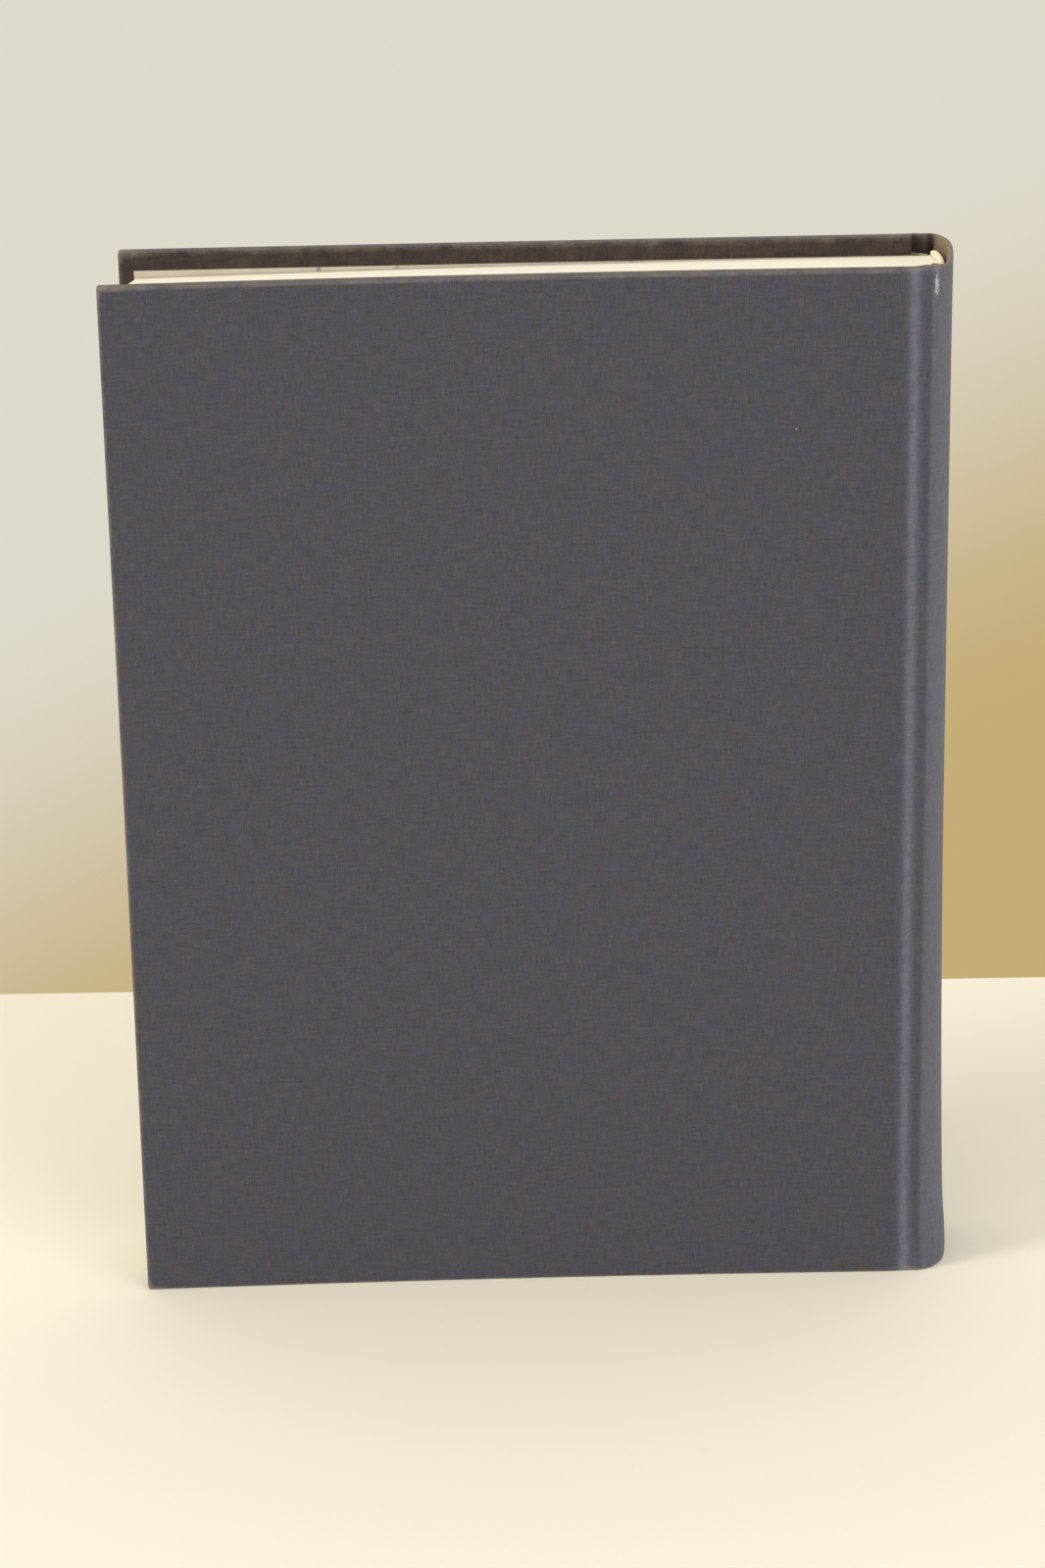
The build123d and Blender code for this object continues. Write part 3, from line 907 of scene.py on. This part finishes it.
def bookCloth():
    # starched plain-weave cotton over board: matte, with fine slubs and small clouds of dye in the charcoal
    m = newMaterial("starchedBookCloth")
    uv = node(m, "UVMap", uv_map="cloth").outputs["UV"]
    place = node(m, "TexCoord").outputs["Object"]

    # the weave: threads across and upright, over each other in turn; the wave node makes 3.183 bands to a unit
    threads = []
    for direction in "XY":
        threads.append(node(m, "TexWave", {
            "Vector": uv, "Scale": 0.3142 / clothLook["thread"],
            "Distortion": 1.2, "Detail": 2.0, "Detail Scale": 1.5,
        }, wave_type="BANDS", bands_direction=direction).outputs["Fac"])
    over = node(m, "TexChecker", {"Vector": uv, "Scale": 1 / clothLook["thread"]})
    weave = node(m, "Mix", {0: over.outputs["Fac"], 2: threads[0], 3: threads[1]}, data_type="FLOAT")

    # the slubs: stretches of thicker, darker thread both ways
    slubLong, slubWide = clothLook["slub"]
    slubs = []
    for scale in ((1 / slubLong, 1 / slubWide, 1), (1 / slubWide, 1 / slubLong, 1)):
        drawn = node(m, "Mapping", {"Vector": uv, "Scale": scale})
        slubs.append(node(m, "TexNoise", {
            "Vector": drawn, "Scale": 1.0, "Detail": 3.0, "Roughness": 0.65}).outputs["Fac"])
    slub = node(m, "Math", {0: slubs[0], 1: slubs[1]}, operation="ADD")
    fleck = grains(m, uv, clothLook["fleck"], 2.0, 0.7)
    grain = remap(m, fleck.outputs["Fac"], 0.3, 0.7, 0.8, 1.2)
    tone = remap(m, slub, 0.7, 1.3, 0.76, 1.24)
    relief = remap(m, weave, 0, 1, 0.88, 1.1)
    raised = product(m, tone, relief)
    shade = product(m, raised, grain)

    # the dye took unevenly, in small clouds of navy, slate, charcoal and plum
    vat = grains(m, place, clothLook["dyeCloud"], 2.0, 0.6)
    hue = node(m, "ValToRGB", {"Fac": vat.outputs["Fac"]})
    setStops(hue, *clothLook["dyes"])

    # the spine and the slopes of the joints stood in the light on a shelf and partly faded to a bluer grey; the rest
    # of their lighter, bluer tone, with a bright band on each slope, is painted light
    sunFadeAndLight = node(m, "Attribute", attribute_name="sunFadeAndLight").outputs["Fac"]
    fadeAndLightMix = product(m, sunFadeAndLight, clothLook["sunFadeAndLightShare"])
    dyeFadeAndLight = blended(m, fadeAndLightMix, hue.outputs["Color"], colour(clothLook["sunFadeAndLight"]))
    woven = node(m, "VectorMath", {0: dyeFadeAndLight, "Scale": shade}, operation="SCALE")

    # the turned-in cloth never saw the light and keeps a deeper, browner colour; part of its darkness is painted
    # shade inside the case
    patch = grains(m, place, clothLook["turnedPatch"], 4.0, 0.7).outputs["Fac"]
    turned = node(m, "Attribute", attribute_name="turned").outputs["Fac"]
    deep = product(m, turned, 0.95)
    blotch = remap(m, patch, 0.35, 0.65)
    dark, light = (colour(tint) for tint in clothLook["turnInDyeAndShade"])
    brown = blended(m, blotch, dark, light)
    inside = node(m, "VectorMath", {0: brown, "Scale": shade}, operation="SCALE")
    withTurnInShade = blended(m, deep, woven, inside)

    # inside the spine, near its ends, a painted pool of light turns the turned-in cloth tan
    spineEndLight = node(m, "Attribute", attribute_name="spineEndLight").outputs["Fac"]
    tan = node(m, "VectorMath", {0: colour(clothLook["litTan"])[:3], "Scale": shade}, operation="SCALE")
    litTan = blended(m, spineEndLight, withTurnInShade, tan)

    # rubbed edges show the lighter, browner cotton; on the rims a painted highlight adds to it
    wornAndEdgeLight = node(m, "Attribute", attribute_name="wornAndEdgeLight").outputs["Fac"]
    edgeRubAndLight = product(m, wornAndEdgeLight, patch)
    edgeWearAndHighlight = remap(m, edgeRubAndLight, 0.18, 0.62, 0, 0.75)
    edged = blended(m, edgeWearAndHighlight, litTan, colour(clothLook["edgeWearAndHighlight"]))

    # where the ridge is rubbed through near the head, single threads show almost white
    bare = node(m, "Attribute", attribute_name="bare").outputs["Fac"]
    speck = grains(m, uv, clothLook["fleck"], 2.0, 0.8)
    through = product(m, bare, speck.outputs["Fac"])
    thread = remap(m, through, 0.34, 0.52, 0, 0.9)
    scuffed = blended(m, thread, edged, colour(clothLook["bareThread"]))

    # lint: a few pale specks on each cover
    lint = node(m, "TexVoronoi", {"Vector": place, "Scale": 1 / clothLook["lintApart"]}, feature="F1")
    near = remap(m, lint.outputs["Distance"], 0.015, 0.01)
    flecked = blended(m, near, scuffed, colour(clothLook["lint"]))
    height = node(m, "Math", {0: weave, 1: slub}, operation="ADD")
    bump = node(m, "Bump", {"Height": height, "Strength": 0.5, "Distance": 0.12 * mm})
    shader = node(m, "BsdfPrincipled", {
        "Base Color": flecked,
        "Roughness": 0.88,
        "Specular IOR Level": 0.25,
        "Sheen Weight": 0.12,
        "Sheen Roughness": 0.5,
        "Normal": bump,
    })
    return finishMaterial(m, shader)


pageLook = {
    "leaf": 0.42 * mm,  # leaves are 0.12 mm; drawn as the small groups that the eye sees
    "gathering": 2.6 * mm,
    "shadow": "#e6dfca",
    "edge": "#f5f0e0",
}


def pageEdges():
    # cut edges of coated leaves: fine lines between the leaves and softer ones between gatherings, cream from age
    m = newMaterial("cutPaperEdges")
    place = node(m, "UVMap", uv_map="leaves").outputs["UV"]
    stretch = node(m, "Mapping", {"Vector": place, "Scale": (1 / (140 * mm), 1 / pageLook["leaf"], 1)})
    lines = node(m, "TexNoise", {
        "Vector": stretch, "Scale": 1.0, "Detail": 4.0, "Roughness": 0.6})
    groups = node(m, "Mapping", {
        "Vector": place, "Scale": (1 / (300 * mm), 1 / pageLook["gathering"], 1)})
    gatherings = node(m, "TexNoise", {"Vector": groups, "Scale": 1.0, "Detail": 1.0})
    both = node(m, "Math", {0: lines.outputs["Fac"], 1: gatherings.outputs["Fac"]}, operation="ADD")
    tone = node(m, "ValToRGB", {"Fac": both})
    setStops(tone, (0.66, pageLook["shadow"]), (1.0, pageLook["edge"]))
    halved = product(m, both, 0.5)
    bump = node(m, "Bump", {"Height": halved, "Strength": 0.6, "Distance": 0.15 * mm})
    shader = node(m, "BsdfPrincipled", {
        "Base Color": tone.outputs["Color"], "Roughness": 0.62, "Specular IOR Level": 0.35, "Normal": bump})
    return finishMaterial(m, shader)


endpaperLook = {
    "cloud": 9 * mm,
    "low": "#c6bba8",
    "high": "#d3c9b6",
    "stain": "#6f6155",
    "stainsApart": 6 * mm,
    "stainedAbove": (0.268, 0.27),
    "fibre": 0.5 * mm,
}


def endpaperStock():
    # uncoated endpaper, grey beige, with cloudy fibres and a few soft stains at its head
    m = newMaterial("uncoatedEndpaper")
    place = node(m, "TexCoord").outputs["Object"]
    cloud = grains(m, place, endpaperLook["cloud"], 5.0, 0.6)
    tone = node(m, "ValToRGB", {"Fac": cloud.outputs["Fac"]})
    setStops(tone, (0.3, endpaperLook["low"]), (0.7, endpaperLook["high"]))

    # small stains of paste and damp, only within 18 mm of the head
    drops = node(m, "TexVoronoi", {
        "Vector": place, "Scale": 1 / endpaperLook["stainsApart"]}, feature="F1")
    drop = remap(m, drops.outputs["Distance"], 0.16, 0.07)
    up = node(m, "SeparateXYZ", {"Vector": place})
    clear, full = endpaperLook["stainedAbove"]
    atHead = remap(m, up.outputs["Z"], clear, full, 0, 0.75)
    share = product(m, drop, atHead)
    stained = blended(m, share, tone.outputs["Color"], colour(endpaperLook["stain"]))
    fibre = grains(m, place, endpaperLook["fibre"], 2.0)
    bump = node(m, "Bump", {"Height": fibre.outputs["Fac"], "Strength": 0.25, "Distance": 0.05 * mm})
    shader = node(m, "BsdfPrincipled", {
        "Base Color": stained, "Roughness": 0.9, "Specular IOR Level": 0.3, "Normal": bump})
    return finishMaterial(m, shader)


def plainStock(name, low, high, grain, roughness):
    # pulp board, card, kraft and mull: two tones of one colour in a grain of the given size
    m = newMaterial(name)
    place = node(m, "TexCoord").outputs["Object"]
    pulp = grains(m, place, grain, 4.0, 0.65)
    tone = node(m, "ValToRGB", {"Fac": pulp.outputs["Fac"]})
    setStops(tone, (0.35, low), (0.65, high))
    bump = node(m, "Bump", {"Height": pulp.outputs["Fac"], "Strength": 0.4, "Distance": 0.1 * mm})
    shader = node(m, "BsdfPrincipled", {
        "Base Color": tone.outputs["Color"], "Roughness": roughness, "Normal": bump})
    return finishMaterial(m, shader)


def giveMaterial(material, *pieces):
    for piece in pieces:
        piece.data.materials.clear()
        piece.data.materials.append(material)


giveMaterial(bookCloth(), backCloth, frontCloth)
giveMaterial(pageEdges(), textBlock)
giveMaterial(endpaperStock(), backPaper, frontPaper, backFlyleaf, frontFlyleaf)
giveMaterial(plainStock("greyPulpBoard", "#7d776c", "#96907f", 0.8 * mm, 0.9), backBoard, frontBoard)
giveMaterial(plainStock("spineCardStock", "#857a66", "#9c927e", 0.6 * mm, 0.85), spineInlay)
giveMaterial(plainStock("openWeaveMull", "#d2c7ae", "#e6decb", 0.9 * mm, 0.95), mull)
giveMaterial(plainStock("kraftLining", "#96754c", "#ab8a5f", 0.5 * mm, 0.8), kraft)
giveMaterial(plainStock("creamCottonBand", "#e6dab8", "#f6edd3", 0.35 * mm, 0.85), headBand, tailBand)
print("materials given")


# Camera, table and light

view = {
    "at": (0.241, -1291.33, 715.471),  # mm
    "yaw": 0.17,
    "pitch": 23.98,
    "roll": -1.014,
    "lens": 123.18,
}


def addCamera():
    yaw, pitch, roll = (math.radians(view[k]) for k in ("yaw", "pitch", "roll"))
    forward = Vector((-math.sin(yaw) * math.cos(pitch), math.cos(yaw) * math.cos(pitch), -math.sin(pitch)))
    level = Vector((math.cos(yaw), math.sin(yaw), 0))
    upward = level.cross(forward)
    right = level * math.cos(roll) + upward * math.sin(roll)
    top = upward * math.cos(roll) - level * math.sin(roll)
    data = bpy.data.cameras.new("camera")
    data.sensor_fit = "VERTICAL"
    data.sensor_height = 36
    data.lens = view["lens"]
    data.clip_start = 0.01
    data.clip_end = 50
    camera = bpy.data.objects.new("camera", data)
    turned = Matrix((right, top, -forward)).transposed().to_4x4()
    camera.matrix_world = Matrix.Translation(Vector(view["at"]) * mm) @ turned
    bpy.context.collection.objects.link(camera)
    bpy.context.scene.camera = camera


tableTop = {
    "width": 8,
    "frontEdge": -6,
    "backEdge": 0.167,
    "low": "#f1ebd9",
    "high": "#f4f0e0",
}


def addTable():
    bpy.ops.object.select_all(action="DESELECT")
    bpy.ops.mesh.primitive_plane_add(size=1, location=(0, 0, 0))
    table = bpy.context.object
    table.name = "table"
    for vertex in table.data.vertices:
        edge = tableTop["backEdge"] if vertex.co.y > 0 else tableTop["frontEdge"]
        vertex.co = (vertex.co.x * tableTop["width"], edge, 0)
    m = newMaterial("paleTable")
    place = node(m, "TexCoord").outputs["Object"]
    stain = node(m, "TexNoise", {"Vector": place, "Scale": 2.0, "Detail": 2.0})
    tone = node(m, "ValToRGB", {"Fac": stain.outputs["Fac"]})
    setStops(tone, (0.0, tableTop["low"]), (1.0, tableTop["high"]))
    shader = node(m, "BsdfPrincipled", {
        "Base Color": tone.outputs["Color"], "Roughness": 0.7, "Specular IOR Level": 0.2})
    giveMaterial(finishMaterial(m, shader), table)


# Softboxes in metres and watts: the window, a lamp on the other side, and the ceiling
softboxes = {
    "windowSoftbox": {
        "at": (2.05, -2.4, 1.1),
        "aim": (0.05, 0, 0.1),
        "size": (2.4, 0.6),
        "power": 40,
        "tint": "#eaf0ff",
    },
    "lampSoftbox": {
        "at": (-3.9, -1.7, 2.46),
        "aim": (0, 0, 0.14),
        "size": (1.2, 1.2),
        "power": 100,
        "tint": "#fff8ee",
    },
    "ceilingSoftbox": {
        "at": (0, -0.05, 2.4),
        "aim": (0, 0, 0),
        "size": (2.4, 2.4),
        "power": 26,
        "tint": "#fffaf0",
    },
}


def addSoftbox(name, box):
    data = bpy.data.lights.new(name, "AREA")
    data.shape = "RECTANGLE"
    data.size, data.size_y = box["size"]
    data.energy = box["power"]
    data.color = colour(box["tint"])[:3]
    lamp = bpy.data.objects.new(name, data)
    aimed = (Vector(box["aim"]) - Vector(box["at"])).to_track_quat("-Z", "Y").to_matrix().to_4x4()
    lamp.matrix_world = Matrix.Translation(box["at"]) @ aimed
    bpy.context.collection.objects.link(lamp)


# The far wall, pale above with a painted tan shadow below, and the even light of the room
room = {
    "wall": "#dedacb",
    # the colour of the painted shadow on the lower wall
    "shade": "#c5ad78",
    "slant": (2.0, 0, -5.0),  # the shade grows along this direction
    "shadeBetween": (1.65, 2.15),
    "ambient": "#fffaf2",
    "strength": 0.5,
}


def addRoom():
    world = bpy.data.worlds.new("room")
    world.use_nodes = True
    world.node_tree.nodes.clear()
    direction = node(world, "TexCoord").outputs["Generated"]
    slant = node(world, "VectorMath", {0: direction, 1: room["slant"]}, operation="DOT_PRODUCT")
    pale, deep = room["shadeBetween"]
    lower = node(world, "MapRange", {
        "Value": slant.outputs["Value"], "From Min": pale, "From Max": deep}, interpolation_type="SMOOTHSTEP")
    tone = blended(world, lower, colour(room["wall"]), colour(room["shade"]))
    far = node(world, "Background", {"Color": tone})
    around = node(world, "Background", {"Color": colour(room["ambient"]), "Strength": room["strength"]})

    # the camera, gloss and glass see the wall; the surfaces are lit by the even light
    ray = node(world, "LightPath").outputs
    mirrored = node(world, "Math", {
        0: ray["Is Glossy Ray"], 1: ray["Is Transmission Ray"]}, operation="MAXIMUM")
    seen = node(world, "Math", {0: ray["Is Camera Ray"], 1: mirrored}, operation="MAXIMUM")
    mix = node(world, "MixShader", {0: seen, 1: around, 2: far})
    node(world, "OutputWorld", {"Surface": mix})
    bpy.context.scene.world = world


addCamera()
addTable()
for name, box in softboxes.items():
    addSoftbox(name, box)
addRoom()
bpy.context.scene.view_settings.view_transform = "Standard"
print("camera, table and lights set")
